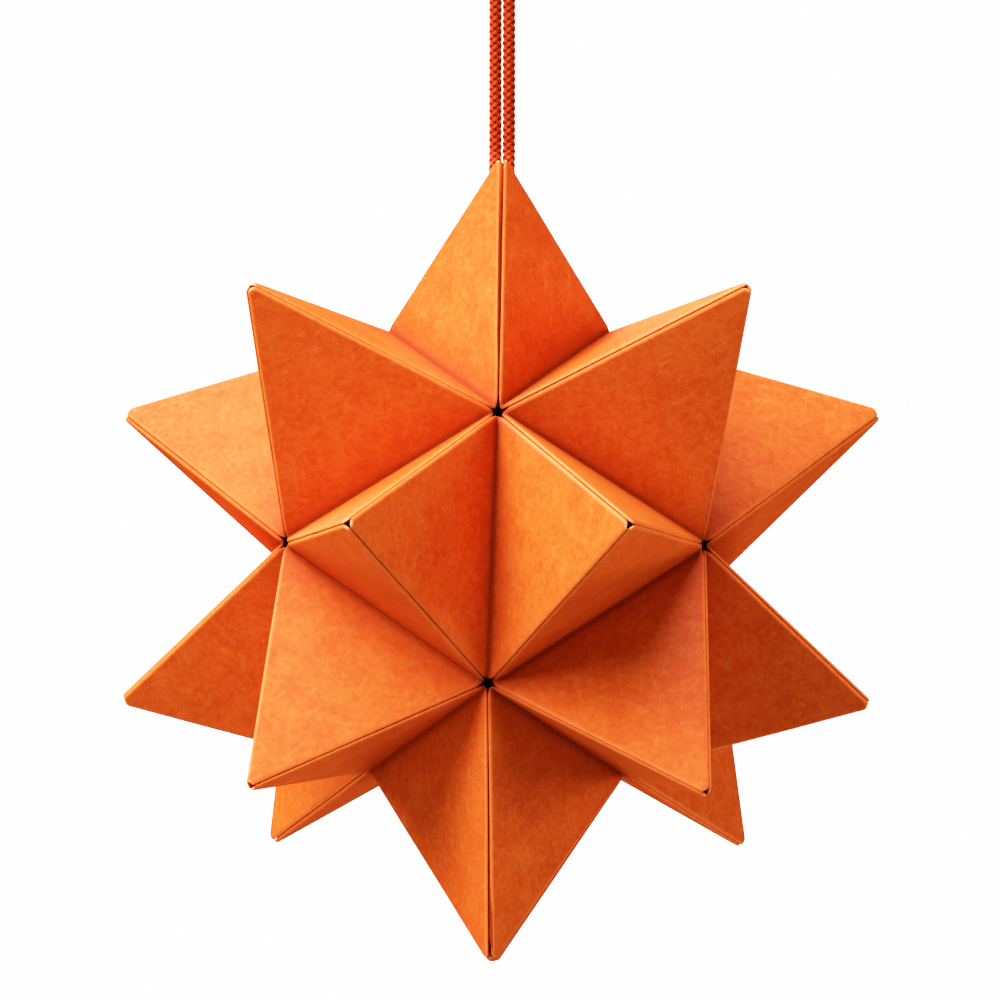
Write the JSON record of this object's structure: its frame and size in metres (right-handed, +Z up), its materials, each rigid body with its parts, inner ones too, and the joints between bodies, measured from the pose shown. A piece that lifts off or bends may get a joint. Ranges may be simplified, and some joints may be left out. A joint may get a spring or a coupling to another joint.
{
  "type": "hanging folded paper star",
  "caption": "Spiked star ornament of interlocked folded paper units with slit ridges, hung from a doubled braided cord loop.",
  "frame": {"origin": "the point inside the top of the cord loop where a hook bears", "axes": "+Z up along the cord, +X to the right seen from the front, the front of the star faces -Y"},
  "size_m": [0.147, 0.1376, 0.2173],
  "materials": {
    "paper": "satin, mottled and finely grained",
    "cord": "braided, slightly glossy"
  },
  "bodies": {
    "root": {"folded_unit_01": "paper", "folded_unit_02": "paper", "folded_unit_03": "paper", "folded_unit_04": "paper", "folded_unit_05": "paper", "folded_unit_06": "paper", "folded_unit_07": "paper", "folded_unit_08": "paper", "folded_unit_09": "paper", "folded_unit_10": "paper", "folded_unit_11": "paper", "folded_unit_12": "paper", "folded_unit_13": "paper", "folded_unit_14": "paper", "folded_unit_15": "paper", "folded_unit_16": "paper", "folded_unit_17": "paper", "folded_unit_18": "paper", "folded_unit_19": "paper", "folded_unit_20": "paper", "folded_unit_21": "paper", "folded_unit_22": "paper", "folded_unit_23": "paper", "folded_unit_24": "paper", "folded_unit_25": "paper", "folded_unit_26": "paper", "folded_unit_27": "paper", "folded_unit_28": "paper", "folded_unit_29": "paper", "folded_unit_30": "paper", "cord_knot": "cord", "cord_loop": "cord"}
  },
  "joints": []
}
